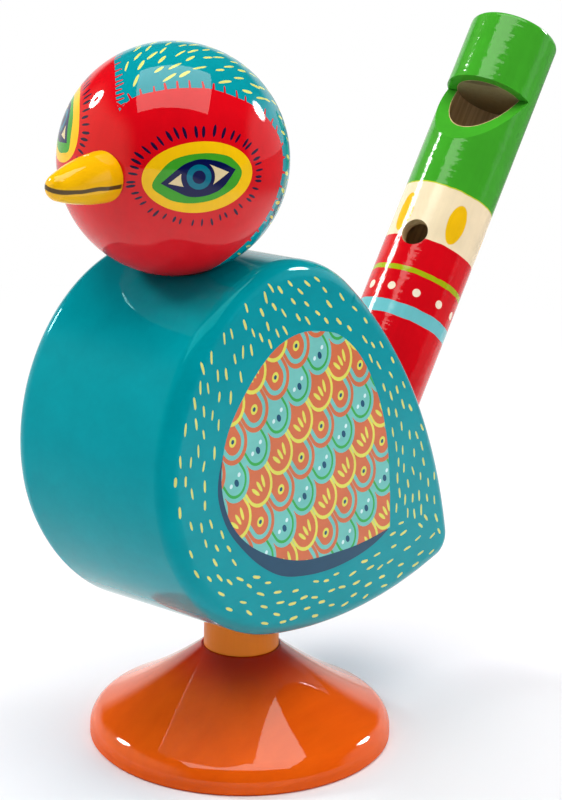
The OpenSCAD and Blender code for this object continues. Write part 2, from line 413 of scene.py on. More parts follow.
def side_dashes(rim):
    """Feather dashes strewn evenly between the wing panel and the board's rim."""
    rng = random.Random(41)
    marks, centres = [], []
    middle = PANEL.mean(0)
    lo, hi = rim.min(0), rim.max(0)
    for _ in range(DASH_TRIES):
        q = np.array([rng.uniform(lo[0], hi[0]), rng.uniform(lo[1], hi[1])])
        if not inside(q, rim)[0] or inside(q, PANEL)[0] or inside(q, MOON)[0]:
            continue
        round_by = angle_of(q - middle) % 360
        breast = max(0.0, 1 - abs(round_by - BREAST_AT) / BREAST_WIDE)
        (to_rim,), (a_rim,) = away(q, rim)
        (to_panel,), (a_panel,) = away(q, PANEL)
        if to_rim < TO_RIM - BREAST_CLOSER * breast or to_panel < TO_PANEL or away(q, MOON)[0][0] < TO_MOON:
            continue
        if SHOULDER[0][0] < round_by < SHOULDER[0][-1]:
            a = float(np.interp(round_by, *SHOULDER))
        else:
            swing = (a_panel - a_rim + 180) % 360 - 180
            if abs(swing) > 90:
                swing -= math.copysign(180, swing)
            a = a_rim + to_rim / (to_rim + to_panel) * swing
        way = ray2(a)
        if centres:
            off = np.array(centres) - q
            along, across = off @ way, off @ np.array([-way[1], way[0]])
            if np.min((along / DASH_ALONG) ** 2 + (across / DASH_ACROSS) ** 2) < 1:
                continue
        centres.append(q)
        shape = leaf(rng.uniform(1.8, 2.6), rng.uniform(0.42, 0.6), rng.uniform(0.4, 0.8), 4)
        marks.append(put(shape, q, a + rng.uniform(-11, 11), rng.uniform(-0.05, 0.05)))
    return marks


def wing_pattern():
    """Overlapping feather scales in rows that slope to the tail. Returns [(paint name, outline)]."""
    down, pitch, wide = -52.0, 6.0, 7.4
    d, e = ray2(down), ray2(down + 90)
    start = np.array([-2.0, 61.0])

    def scale(half, length):
        t = np.linspace(0, math.pi, 15)
        tip = np.stack([half * np.cos(t), length - half * 1.15 + half * 1.15 * np.sin(t)], -1)
        return np.concatenate([[(half, -1.5)], tip, [(-half, -1.5)]])

    rays = [put(leaf(2.9, 0.72, 0.9, 4), (dx, 4.6), 90 + a) for dx, a in ((-1.3, -16), (0.0, 0), (1.3, 16))]
    kinds = [
        [("pale", scale(3.66, 8.6)), ("green", scale(3.0, 7.7)), ("pale", scale(2.5, 7.1)),
         ("navy", ellipse((0, 4.9), 0.55, 0.8, 12)), ("white", ellipse((-1.35, 4.2), 0.42, 0.42, 10)),
         ("white", ellipse((1.35, 4.2), 0.42, 0.42, 10))],
        [("yellow", scale(3.66, 8.6)), ("orange", scale(3.1, 7.8))] + [("yellow", ray) for ray in rays],
        [("orange", scale(3.66, 8.6)), ("pale", scale(2.95, 7.6)), ("orange", scale(2.1, 6.7)),
         ("yellow", ellipse((0, 4.1), 0.95, 0.95, 16)), ("navy", ellipse((0, 4.1), 0.42, 0.42, 12))],
    ]
    out = []
    for k in range(6, -7, -1):
        for j in range(-5, 6):
            at = start + d * k * pitch + e * (j + 0.5 * (k % 2)) * wide
            out += [(name, p[:, :1] * e + p[:, 1:] * d + at) for name, p in kinds[k % 3]]
    return out


PAINTS = {
    "base": TEAL, "dash": DASH, "moon": CRESCENT, "pale": PALE_TEAL, "green": WING_GREEN,
    "navy": WING_NAVY, "white": WING_WHITE, "yellow": WING_YELLOW, "orange": WING_ORANGE,
}


def make_body(paint, wood):
    """The board: cut from a blank, then its two sides are laid in as pictures."""
    # Rings of the rounded edge, spaces across the flat rim, and the ring that the pictures reach out to
    steps, across, keep = 9, 8, 4
    rounded = []
    for k in range(steps + 1):
        c, s = ray2(90 * (1 - k / steps))
        rounded.append((EDGE_R * (1 - c), HALF_T - EDGE_R * (1 - s)))
    flat = HALF_T - EDGE_R
    layers = rounded + [(0.0, flat - 2 * flat * k / across) for k in range(1, across)]
    layers += [(inset, -x) for inset, x in rounded[::-1]]
    rings = [outline(inset) for inset, _ in layers]
    n = len(rings[0])
    points = [np.array([x, *q]) for (_, x), ring in zip(layers, rings) for q in ring]
    faces = []
    for k in range(len(layers) - 1):
        for i in range(n):
            j = (i + 1) % n
            faces.append([k * n + i, (k + 1) * n + i, (k + 1) * n + j, k * n + j])
    last = (len(layers) - 1) * n
    faces += [list(range(n)), list(range(last, last + n))[::-1]]

    blank = new_object("body_blank", points, faces, materials=[paint, wood])
    under_board = 20.0
    cutters = [
        rod(np.zeros(3), Z_AXIS, STEM_R, under_board, STEM_TOP),
        rod(BREAST3, NECK_UP, NECK_R, BREAST_R - HEAD_SINK - NECK_DEPTH, BREAST_R),
        ball(HEAD, HEAD_R + GAP),
        rod(TUBE_FOOT, TUBE_UP, TUBE_R + GAP, 0, TUBE_LEN, 128),
    ]
    made = [blank]
    for k, (p, f) in enumerate(cutters):
        tool = new_object(f"cutter_{k}", p, f, slots=[1] * len(f), materials=[paint, wood])
        made.append(tool)
        cut = blank.modifiers.new(f"cut_{k}", "BOOLEAN")
        cut.operation, cut.solver, cut.object = "DIFFERENCE", "EXACT", tool
    bpy.context.view_layer.update()
    cut_mesh = bpy.data.meshes.new_from_object(blank.evaluated_get(bpy.context.evaluated_depsgraph_get()))
    kept_x = layers[keep][1]
    points = [np.array(v.co) / MM for v in cut_mesh.vertices]
    faces, slots = [], []
    for poly in cut_mesh.polygons:
        # The sides come from the picture instead, out to one ring on the rounded edge
        if not all(abs(points[i][0]) > kept_x - TOUCH for i in poly.vertices):
            faces.append(list(poly.vertices))
            slots.append(poly.material_index)
    for o in made:
        bpy.data.objects.remove(o)

    edge, rim = rings[keep], rings[steps + across // 2]
    shapes = [("base", edge, None)]
    shapes += [("dash", mark, None) for mark in side_dashes(rim)]
    shapes.append(("moon", MOON, None))
    panel = len(shapes)
    shapes.append(("pale", PANEL, None))
    shapes += [(name, p, panel) for name, p in wing_pattern() if inside(p, PANEL).any()]
    # A coarse grid inside the edge, and the rings between the flat side and the edge
    grid, clear = 6.0, 4
    loose = [(y, z) for y in np.arange(-42, 46, grid) for z in np.arange(26, 94, grid)
             if inside((y, z), edge)[0] and away((y, z), edge)[0][0] > clear]
    loose += [tuple(q) for k in range(keep) for q in outline(layers[k][0])]
    flat_points, tris, names, came = inlay(shapes, loose, False)
    depth = away(flat_points, rim)[0]
    rise = np.sqrt(np.maximum(EDGE_R**2 - np.maximum(EDGE_R - depth, 0) ** 2, 0))
    height = flat + np.where(depth < EDGE_R - TOUCH, rise, EDGE_R)
    colours = [TEAL] * len(faces)
    for side in (1, -1):
        ring = [i for i, p in enumerate(points) if abs(side * p[0] - kept_x) < TOUCH]
        at_ring = np.array([points[i][1:] for i in ring])
        index = []
        for q, src, x in zip(flat_points, came, height):
            if any(s < n for s in src):
                index.append(ring[int(np.linalg.norm(at_ring - q, axis=1).argmin())])
            else:
                index.append(len(points))
                points.append(np.array([side * x, *q]))
        for tri, name in zip(tris, names):
            f = [index[i] for i in tri]
            faces.append(f if side == 1 else f[::-1])
            slots.append(0)
            colours.append(PAINTS[name])
    normals = []
    for f, slot in zip(faces, slots):
        p = [points[i] for i in f]
        if slot == 0 and all(abs(abs(q[0]) - HALF_T) < TOUCH for q in p):
            normals.append([math.copysign(1, p[0][0]) * X_AXIS] * len(f))
        elif slot == 0:
            normals.append([skin_normal(q) for q in p])
        elif abs(np.linalg.norm(np.mean(p, 0) - HEAD) - HEAD_R - GAP) < 0.1:
            normals.append([(HEAD - q) / np.linalg.norm(HEAD - q) for q in p])
        else:
            normals.append([face_normal(points, f)] * len(f))
    body = new_object("body_board", points, faces, colours, normals, slots, [paint, wood])
    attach(body, "root")
    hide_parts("body")


# ---------------- head ball


def turned(axis, a):
    return np.array(Matrix.Rotation(math.radians(a), 3, axis))


# The painter held the ball a little turned and rolled, so the paint has its own frame
PAINT_ROLL = 13.5
PAINT_TO_WORLD = turned("Z", 4.6) @ turned("X", -1.6) @ turned("Y", PAINT_ROLL)
# Axes of the flat chart in which the ball's paint is laid out
CHART_X, CHART_Y = X_AXIS, np.cross(NECK_UP, X_AXIS)


def world(v):
    """A direction of the painted frame in the world."""
    return PAINT_TO_WORLD @ v


def to_chart(v):
    """World direction from the ball's centre to the flat chart that opens it from the neck."""
    return 2 * np.array([v @ CHART_X, v @ CHART_Y]) / (1 + v @ NECK_UP)


def from_chart(q):
    """World direction of a point of the chart."""
    r2 = q @ q
    up = (4 - r2) / (4 + r2)
    return q[0] * (1 + up) / 2 * CHART_X + q[1] * (1 + up) / 2 * CHART_Y + up * NECK_UP


def around(centre, x, y, p):
    """Direction p = (x, y) degrees away from a direction, measured along great circles."""
    r = math.radians(math.hypot(*p))
    if r < 1e-9:
        return centre
    return math.cos(r) * centre + math.sin(r) * (p[0] * x + p[1] * y) / math.hypot(*p)


def off_axis(axis, x, y, p, t):
    """Direction p radians away from an axis, at t radians from x towards y."""
    return math.cos(p) * axis + math.sin(p) * (math.cos(t) * x + math.sin(t) * y)


def hole_ring(axis, r, n):
    """Directions to the mouth of a round hole in the ball, counter-clockwise seen from outside."""
    x, y = square_to(axis)
    p = math.asin(r / HEAD_R)
    return [off_axis(axis, x, y, p, t) for t in circle(n)]


def apart(cosine):
    """Angle in degrees between two directions with this dot product."""
    return math.degrees(math.acos(min(1.0, max(-1.0, cosine))))


def fine(vectors):
    """Closed outline of directions with no step over 2.5 degrees."""
    out = []
    for a, b in zip(vectors, list(vectors[1:]) + [vectors[0]]):
        n = max(1, math.ceil(apart(a @ b) / 2.5))
        for k in range(n):
            m = a + (b - a) * k / n
            out.append(m / np.linalg.norm(m))
    return out


# The left eye's azimuth, elevation and slant, the half axes of its yellow ring in degrees, and its lashes
EYE_AT, EYE_SLANT, EYE_A, EYE_B, LASHES = (47.7, 9.0), 13.9, 27.6, 16.9, 44


def eye_shapes():
    """Outlines in degrees about the eye's centre: x towards the back of the head, y up."""
    out = []
    rng = random.Random(7)
    for k in range(LASHES):
        t = math.radians(360 / LASHES * k + rng.uniform(-1.8, 1.8))
        p0 = np.array([EYE_A * math.cos(t), EYE_B * math.sin(t)])
        u = np.array([math.cos(t) / EYE_A, math.sin(t) / EYE_B])
        u = 0.5 * u / np.linalg.norm(u) + 0.5 * p0 / np.linalg.norm(p0)
        u /= np.linalg.norm(u)
        upper = 0.5 + 0.5 * math.sin(t)
        near = rng.uniform(2.6, 3.8) - 1.2 * upper
        length = rng.uniform(3.6, 4.8) + 1.9 * upper
        width = rng.uniform(0.85, 1.3) + 0.5 * upper
        at = p0 + u * (near + length / 2)
        out.append((LASH, put(leaf(length, width, 0.9, 4), at, angle_of(u) + rng.uniform(-5, 5))))
    out.append((YELLOW, ellipse((0, 0), EYE_A, EYE_B, 72)))
    green = [(-22.8, -2.1), (-14.9, 7.7), (-6.5, 10.9), (3.5, 11.3), (11.5, 9.9), (16.8, 7.3), (21.3, 1.2),
             (19.4, -4.0), (15.1, -7.5), (6.0, -11.0), (-4.1, -11.8), (-12.2, -10.5), (-17.4, -7.9)]
    out.append((GREEN, spline(green, 6)))
    almond = [(-18.7, -1.4), (-9.2, 5.8), (-3.8, 8.1), (1.9, 8.7), (10.6, 6.5), (18.0, 2.2), (11.3, -5.2),
              (5.4, -8.0), (-1.1, -8.9), (-6.6, -8.2), (-12.3, -5.2)]
    out.append((NAVY, spline(almond, 6, corners=(0, 5))))
    middle = (-0.6, 0.5)
    for tip, a0, a1, r in (((-15.2, -1.7), 165, 208, 8.5), ((14.3, 1.3), -33, 46, 7.7)):
        arc = [np.array(middle) + r * ray2(a0 + (a1 - a0) * k / 10) for k in range(11)]
        out.append((CREAM, np.array([tip] + arc)))
    out.append((IRIS, ellipse(middle, 5.9, 5.9, 36)))
    out.append((NAVY, ellipse(middle, 3.15, 3.15, 28)))
    return out


# Where the red face meets the teal crown, from the peak on the forehead down to the neck
CROWN_PEAK = (-2.4, 28.8)
CROWN_LEFT = [
    (-1.4, 33.7), (2, 38.6), (6.8, 41.8), (12.1, 44.5), (19, 47.6), (28.5, 50.4), (39, 52.4), (50, 53.3),
    (63.6, 51.7), (73, 49.6), (81.1, 47.2), (89, 43.2), (94.4, 38.9), (99, 33), (101.9, 29), (103, 22),
    (102.6, 15), (101, 8), (98.6, -1), (95.6, -9), (92, -17.5), (88.5, -25.7), (86, -33), (85, -42),
    (86, -50),
]
CROWN_RIGHT = [
    (-7.1, 31.9), (-10.5, 34.6), (-17.2, 39.5), (-28.9, 44.8), (-38, 47), (-48.4, 47.9), (-60, 48.5),
    (-72, 47.5), (-84, 44), (-95, 35), (-100, 26), (-103, 14), (-107, 3), (-110, -8), (-108, -20),
    (-104, -33), (-101, -48),
]
# In degrees: the red face ends NECK_EDGE from the neck's axis. The crown's border has ticks from TICKS_FROM
# on, closer ones up to TICKS_CLOSE on the right, and none in the last TICKS_END.
NECK_EDGE, TICKS_FROM, TICKS_CLOSE, TICKS_END = 17, 3.0, 22, 20
# The crown's dashes lie in rings about the forehead, DASH_GAP apart in a ring and RING_GAP from ring to
# ring, above DASHES_LOW and DASHES_OFF away from the border.
RINGS_FROM, RINGS_TO, DASH_GAP, RING_GAP, DASHES_LOW, DASHES_OFF = 17.0, 150, 7.9, 8.8, -38, 5.6
# The ball's grid: degrees between rings, and their number
GRID_STEP, GRID_RINGS = 3.0, 56


def crown_edge(knots):
    """The crown's border as directions, through knots of azimuth and elevation."""
    v = np.array([heading(*k) for k in [CROWN_PEAK] + knots])
    return [p / np.linalg.norm(p) for p in spline(v, 6, closed=False)]


def make_head(paint, wood):
    """The ball: its paint is laid out in the flat chart and wrapped round it."""
    shapes, colours = [], [TEAL]

    def add(colour, vectors):
        shapes.append((len(colours), [to_chart(v) for v in fine(vectors)], None))
        colours.append(colour)

    left, right = crown_edge(CROWN_LEFT), crown_edge(CROWN_RIGHT)
    neck_x, neck_y = square_to(-NECK_UP)

    def round_neck(v):
        return math.degrees(math.atan2(v @ neck_y, v @ neck_x))

    mid = round_neck(world(heading(0, 0)))
    a, b = [mid + ((round_neck(world(edge[-1])) - mid + 180) % 360 - 180) for edge in (left, right)]
    low = [off_axis(-NECK_UP, neck_x, neck_y, math.radians(NECK_EDGE), math.radians(a + (b - a) * k / 24))
           for k in range(25)]
    add(RED, [world(v) for v in left] + low + [world(v) for v in right[:0:-1]])
    red = np.array(shapes[0][1])

    rng = random.Random(23)
    for sign, border in ((1, left), (-1, right)):
        along = np.cumsum([apart(p @ q) for p, q in zip(border, border[1:])])
        s = TICKS_FROM
        while s < along[-1] - TICKS_END:
            i = int(np.searchsorted(along, s))
            p, t = border[i], border[i + 1] - border[i]
            t = t / np.linalg.norm(t)
            out = sign * np.cross(p, t)
            length = rng.uniform(3.2, 4.6)
            half_w = rng.uniform(0.4, 0.62)
            lean_by = rng.uniform(-0.5, 0.5)
            tick = [
                (-half_w * 1.3, -0.8), (half_w * 1.3, -0.8), (half_w + lean_by * 0.4, length * 0.5),
                (half_w * 0.7 + lean_by, length), (-half_w * 0.7 + lean_by, length),
                (-half_w + lean_by * 0.4, length * 0.5),
            ]
            add(RED, [world(around(p, t, out, q)) for q in tick])
            s += rng.uniform(2.7, 3.6) if s < TICKS_CLOSE and sign < 0 else rng.uniform(5.0, 7.4)
    # Feather dashes that sweep back from the forehead
    peak, px = heading(0, 21), heading(90, 0)
    py = np.cross(peak, px)
    borders = np.array(left + right)
    rho, ring = RINGS_FROM, 0
    while rho < RINGS_TO:
        gap = DASH_GAP / math.sin(math.radians(rho))
        b = (0.5 if ring % 2 else 0.0) * gap - 180
        while b < 180:
            q = rho + rng.uniform(-1.6, 1.6)
            c = b + rng.uniform(-0.16, 0.16) * gap
            b += gap
            v = around(peak, px, py, (q * math.sin(math.radians(c)), q * math.cos(math.radians(c))))
            if math.degrees(math.asin(v[2])) < DASHES_LOW:
                continue
            if apart((borders @ v).max()) < DASHES_OFF or inside(to_chart(world(v)), red)[0]:
                continue
            way = np.cross(np.cross(peak, v), v)
            way = -way / np.linalg.norm(way)
            cross = np.cross(v, way)
            dash = leaf(rng.uniform(5.6, 8.6), rng.uniform(1.2, 1.9), 0.8, 5)
            mark = put(dash, (0, 0), rng.uniform(-10, 10), rng.uniform(-0.012, 0.012))
            add(DASH, [world(around(v, way, cross, m)) for m in mark])
        rho += RING_GAP
        ring += 1
    centre = heading(*EYE_AT)
    a, e = math.radians(EYE_AT[0]), math.radians(EYE_AT[1])
    east = np.array([math.cos(a), math.sin(a), 0])
    north = np.array([-math.sin(a) * math.sin(e), math.cos(a) * math.sin(e), math.cos(e)])
    c, s = ray2(EYE_SLANT)
    x, y = c * east + s * north, -s * east + c * north
    for side in (np.ones(3), np.array([-1.0, 1.0, 1.0])):
        for colour, shape in eye_shapes():
            add(colour, [world(around(centre, x, y, q) * side) for q in shape])

    # The holes for the neck dowel and the beak's tenon: the chart ends at the first and leaves out the second
    neck_ring, beak_ring = hole_ring(-NECK_UP, NECK_R, 48), hole_ring(BEAK_OUT, TENON_R, 40)
    shapes.append((len(colours), [to_chart(v) for v in beak_ring], None))
    colours.append(None)
    loose = [to_chart(v) for v in neck_ring + [NECK_UP]]
    for k in range(1, GRID_RINGS):
        p = math.radians(GRID_STEP * k)
        m = max(6, round(360 * math.sin(p) / GRID_STEP))
        for i in range(m):
            t = 2 * math.pi * (i + 0.5 * (k % 2)) / m
            loose.append(to_chart(off_axis(NECK_UP, CHART_X, CHART_Y, p, t)))
    flat, tris, paints, _ = inlay(shapes, loose, True)
    vectors = [from_chart(q) for q in flat]
    points = [HEAD + HEAD_R * v for v in vectors]
    faces, tints, normals, slots = [], [], [], []
    for tri, k in zip(tris, paints):
        if colours[k] is None:
            continue
        v = [vectors[i] for i in tri]
        if np.cross(v[1] - v[0], v[2] - v[0]) @ v[0] < 0:
            tri, v = tri[::-1], v[::-1]
        faces.append(list(tri))
        tints.append(colours[k])
        normals.append(v)
        slots.append(0)

    def bore(ring, out, level):
        """Walls and floor of a round hole, from the ring of its mouth down to a level."""
        grid = np.array(vectors)
        top = [int(np.linalg.norm(grid - v, axis=1).argmin()) for v in ring]
        low = []
        for i in top:
            low.append(len(points))
            points.append(points[i] + out * (level - (points[i] - HEAD) @ out))
        m = len(top)
        for f in [[top[i], top[(i + 1) % m], low[(i + 1) % m], low[i]] for i in range(m)] + [low]:
            faces.append(f)
            tints.append(DRILLED_WOOD)
            normals.append([face_normal(points, f)] * len(f))
            slots.append(1)

    bore(neck_ring, -NECK_UP, HEAD_R - NECK_DEPTH)
    bore(beak_ring, BEAK_OUT, HEAD_R - TENON_DEPTH)
    head = new_object("head_ball", points, faces, tints, normals, slots, [paint, wood])
    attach(head, "root")
    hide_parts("head")


# ---------------- materials


class Tree:
    """A node tree, with short calls for its sums."""

    def __init__(self, nt):
        self.nt = nt

    def node(self, kind, inputs=(), **props):
        """A new shader node with its sockets fed, from {name or number: value}."""
        n = self.nt.nodes.new("ShaderNode" + kind)
        for k, v in props.items():
            setattr(n, k, v)
        for k, v in dict(inputs).items():
            self.feed(n.inputs[k], v)
        return n

    def feed(self, socket, value):
        """Links a socket to another, or sets its value."""
        if isinstance(value, bpy.types.NodeSocket):
            self.nt.links.new(value, socket)
        elif value is not None:
            socket.default_value = value

    def shade(self, values):
        """Feeds the shader's sockets from {name: value}."""
        for name, value in values.items():
            self.feed(self.bsdf.inputs[name], value)

    def math(self, op, a, b=None):
        return self.node("Math", {0: a, 1: b}, operation=op).outputs[0]

    def plus(self, a, b):
        return self.math("ADD", a, b)

    def minus(self, a, b):
        return self.math("SUBTRACT", a, b)

    def times(self, a, b):
        return self.math("MULTIPLY", a, b)

    def hypot(self, a, b):
        return self.math("SQRT", self.plus(self.math("POWER", a, 2), self.math("POWER", b, 2)))

    def vec(self, op, a, b=None):
        n = self.node("VectorMath", {0: a, 1: b}, operation=op)
        return n.outputs["Value" if op in ("DOT_PRODUCT", "LENGTH") else "Vector"]

    def dot(self, a, axis):
        return self.vec("DOT_PRODUCT", a, tuple(axis))

    def mix(self, fac, a, b):
        return self.node("Mix", {0: fac, 6: a, 7: b}, data_type="RGBA").outputs[2]

    def noise(self, scale, detail, rough=0.5, vector=None):
        inputs = {"Vector": vector or self.place(), "Scale": scale, "Detail": detail, "Roughness": rough}
        return self.node("TexNoise", inputs).outputs["Fac"]

    def place(self):
        """The surface point in metres."""
        return self.node("TexCoord").outputs["Object"]

    def stretched(self, axis, ratio):
        """The surface point squeezed along an axis, so that a pattern made from it runs along it."""
        p = self.place()
        along = self.times(self.dot(p, axis), ratio - 1)
        n = self.node("VectorMath", {0: tuple(axis), 3: along}, operation="SCALE")
        return self.vec("ADD", p, n.outputs[0])

    def local(self, origin, *axes):
        """The surface point along some axes, in millimetres from an origin."""
        p = self.vec("SUBTRACT", self.place(), tuple(origin * MM))
        return [self.times(self.dot(p, a), 1000.0) for a in axes]

    def step(self, value, lo, hi):
        """0 below lo and 1 above hi, smooth between."""
        inputs = {0: value, 1: lo, 2: hi}
        return self.node("MapRange", inputs, interpolation_type="SMOOTHSTEP").outputs[0]

    def over(self, value, at, soft=0.05):
        """0 below a value and 1 above it, soft on both sides."""
        return self.step(value, at - soft, at + soft)

    def under(self, value, at, soft=0.05):
        return self.minus(1.0, self.over(value, at, soft))

    def band(self, value, lo, hi):
        """1 between lo and hi."""
        return self.times(self.over(value, lo), self.under(value, hi))

    def span(self, value, lo, hi, to_lo, to_hi):
        inputs = {0: value, 1: lo, 2: hi, 3: to_lo, 4: to_hi}
        return self.node("MapRange", inputs).outputs[0]

    def spread(self, noise, lo, hi):
        """A noise, which is mostly within 0.3 to 0.7, spread from lo to hi."""
        return self.span(noise, 0.3, 0.7, lo, hi)

    def bump(self, height, depth, before=None):
        """depth is in metres for a height of 1."""
        inputs = {"Strength": 1.0, "Distance": depth, "Height": height, "Normal": before}
        return self.node("Bump", inputs).outputs[0]


def surface(name):
    """The node tree of a new material, with its output and its shader."""
    mat = bpy.data.materials.new(name)
    mat.use_nodes = True
    t = Tree(mat.node_tree)
    t.nt.nodes.clear()
    t.mat = mat
    t.bsdf = t.node("BsdfPrincipled")
    t.out = t.node("OutputMaterial", {0: t.bsdf.outputs[0]})
    return t


def lacquer(t, colour, grain_axis, coat=0.8, coat_rough=0.03, rough=0.42, grain=1.0, mottle=0.05, tint=None,
            ripple=1.0):
    """Paint over fine-grained wood, under clear lacquer, or with a gloss of its own in the colour tint."""
    cloud = t.noise(160, 4, 0.55)
    fibre = t.noise(900, 3, 0.6, t.stretched(grain_axis, 0.04))
    peel = t.noise(420, 2)
    tone = t.plus(t.spread(cloud, -mottle, mottle), t.spread(fibre, -mottle * 0.5, mottle * 0.5))
    shaded = t.node("HueSaturation", {"Value": t.plus(tone, 1.0), "Color": colour})
    skin = t.bump(fibre, 0.0000025 * grain, t.bump(peel, 0.000010 * ripple))
    t.shade({
        "Base Color": shaded.outputs[0],
        "Roughness": t.spread(cloud, rough * 0.88, rough * 1.14),
        "Coat Weight": coat,
        "Coat Roughness": coat_rough,
        "Coat IOR": 1.5,
    })
    if tint:
        t.shade({"Specular IOR Level": 0.25, "Specular Tint": tint, "Normal": skin})
    else:
        under = t.bump(peel, 0.00002, t.bump(fibre, 0.000012 * grain))
        t.shade({"Specular IOR Level": 0.0, "Normal": under, "Coat Normal": skin})
    return t.mat


def wood(name, colour, axis, dark=0.55, rough=0.62, finish=None):
    """Bare sanded beech: long fibres with short dark flecks. finish holds further values of the shader."""
    t = surface(name)
    rings = t.noise(60, 3, 0.55, t.stretched(axis, 0.12))
    fibre = t.noise(1400, 4, 0.65, t.stretched(axis, 0.03))
    fleck = t.step(t.noise(700, 2, 0.5, t.stretched(axis, 0.10)), 0.62, 0.70)
    deep = tuple(c * dark for c in colour[:3]) + (1.0,)
    mixed = t.mix(t.span(rings, 0.35, 0.65, 0.0, 0.45), colour, deep)
    mixed = t.mix(t.spread(fibre, 0.0, 0.35), mixed, deep)
    t.shade({
        "Base Color": t.mix(t.times(fleck, 0.4), mixed, deep),
        "Roughness": t.spread(fibre, rough - 0.06, rough + 0.12),
        "Specular IOR Level": 0.35,
        "Normal": t.bump(fibre, 0.00005, t.bump(rings, 0.00006)),
    })
    t.shade(finish or {})
    return t.mat


def tube_material():
    """Bands of paint along the tube, and raw wood in its bore and hole. Heights are over the tube's foot."""
    cream_from, green_from, ovals_at, dots_at, dot_r = 56.2, 68.47, 61.3, 44.75, 0.86
    oval_wide, oval_high = 1.98, 4.3
    t = surface("tube_lacquer_bands")
    side, front, s = t.local(TUBE_FOOT, TUBE_SIDE, TUBE_FRONT, TUBE_UP)
    r = t.hypot(side, front)
    angle = t.times(t.math("ARCTAN2", side, front), 180 / math.pi)
    wobble = t.spread(t.noise(260, 2), -0.12, 0.12)
    sw = t.plus(s, wobble)

    def round_by(count, first):
        """Millimetres round the tube from the nearest of count marks, the first at first degrees."""
        part = 360 / count
        cell = t.math("FRACT", t.math("DIVIDE", t.plus(angle, 360 + part / 2 - first), part))
        return t.times(t.minus(t.times(cell, part), part / 2), TUBE_R * math.pi / 180)

    colour = t.mix(t.over(sw, cream_from), RED, CREAM_BAND)
    # Yellow ovals on the cream band
    across, up = round_by(5, 46.5), t.minus(s, ovals_at)
    oval = t.hypot(t.math("DIVIDE", across, oval_wide), t.math("DIVIDE", up, oval_high))
    colour = t.mix(t.under(t.plus(oval, t.times(wobble, 0.35)), 1.0, 0.03), colour, OVAL)
    colour = t.mix(t.band(sw, 68.2, 68.6), colour, PALE_LIME)
    colour = t.mix(t.over(sw, green_from), colour, GREEN)
    colour = t.mix(t.band(sw, 48.4, 49.5), colour, LIME)
    colour = t.mix(t.band(sw, 38.9, 41.8), colour, PALE_BLUE)
    # Cream dots between the two rings
    dot = t.hypot(round_by(11, -1.5), t.minus(s, dots_at))
    colour = t.mix(t.under(t.plus(dot, t.times(wobble, 0.8)), dot_r), colour, DOT)
    # Raw wood in the finger hole, in the bore and on the mouth's inner edge
    hole = t.hypot(side, t.minus(s, FINGER_HOLE_AT))
    in_wall = t.times(t.under(r, TUBE_R - 0.15, 0.08), t.step(front, 0, 1))
    bare = t.math("MAXIMUM", t.times(t.under(hole, FINGER_HOLE_R + 0.1), in_wall), t.under(r, BORE_R + 0.3))
    bare = t.math("MAXIMUM", bare, t.times(t.step(s, 108.9, 108.97), t.under(r, 8.2, 0.2)))
    grain = t.noise(1200, 4, 0.6, t.stretched(TUBE_UP, 0.05))
    raw = t.mix(t.spread(grain, 0, 1), srgb(222, 194, 146), srgb(184, 154, 112))
    lacquer(t, t.mix(bare, colour, raw), TUBE_UP, coat_rough=0.08, rough=0.4, ripple=5.0)
    # Fine unevenness and the lathe's faint rings draw reflections out along the tube
    skin = t.bsdf.inputs["Coat Normal"].links[0].from_socket
    skin = t.bump(t.noise(700, 2, 0.5, t.stretched(TUBE_UP, 0.5)), 0.00005, skin)
    rings = t.noise(110, 2, 0.5, t.stretched(TUBE_UP, 8.0))
    t.shade({"Coat Weight": t.times(t.minus(1.0, bare), 0.85), "Coat Normal": t.bump(rings, 0.00006, skin)})
    return t.mat


def beak_material():
    """Yellow with a dark line for the mouth, rolled with the head's paint: its left end hangs lower."""
    t = surface("beak_lacquer_line")
    up = Z_AXIS - BEAK_OUT * BEAK_OUT[2]
    up /= np.linalg.norm(up)
    to_right = np.cross(BEAK_OUT, up)
    c, s = ray2(PAINT_ROLL)
    height, out = t.local(HEAD, c * up - s * to_right, BEAK_OUT)
    wave = t.spread(t.noise(180, 1), -0.16, 0.16)
    off_line = t.math("ABSOLUTE", t.plus(height, wave))
    line = t.times(t.under(off_line, 0.37, 0.08), t.step(out, 19.5, 20.2))
    warm = t.mix(t.spread(t.noise(90, 3), 0, 1), srgb(246, 188, 6), srgb(238, 176, 4))
    colour = t.mix(t.times(line, 0.92), warm, srgb(34, 26, 20))
    return lacquer(t, colour, BEAK_OUT, rough=0.45, grain=1.3, mottle=0.03)


def foot_material():
    t = surface("foot_lacquer_orange")
    grain = t.noise(220, 4, 0.6, t.stretched(Y_AXIS, 0.12))
    colour = t.mix(t.spread(grain, 0, 1), srgb(238, 94, 8), srgb(230, 86, 5))
    # Painted shade: the orange darkens to deep red towards the stem, where the body shades the foot. The
    # lacquer is thinner at the rim
    out = t.vec("LENGTH", t.vec("MULTIPLY", t.place(), (1000, 1000, 0)))
    colour = t.mix(t.minus(1.0, t.step(out, 8, 17)), colour, srgb(192, 40, 8))
    lacquer(t, colour, Y_AXIS, coat=1.0, mottle=0.025)
    height = t.dot(t.place(), (0, 0, 1000))
    t.shade({"Coat Weight": t.span(height, 1.5, 4.5, 0.35, 1.0)})
    return t.mat


def paint_material(name, axis, **finish):
    """Lacquer in the colours of the mesh's own paint."""
    t = surface(name)
    paint = t.node("Attribute", attribute_type="GEOMETRY", attribute_name="paint")
    return lacquer(t, paint.outputs["Color"], axis, **finish)


def dress(node, material):
    for slot in frame["nodes"][node].material_slots:
        slot.material = material


# ---------------- floor, light and background

# Lengths in this section are in metres


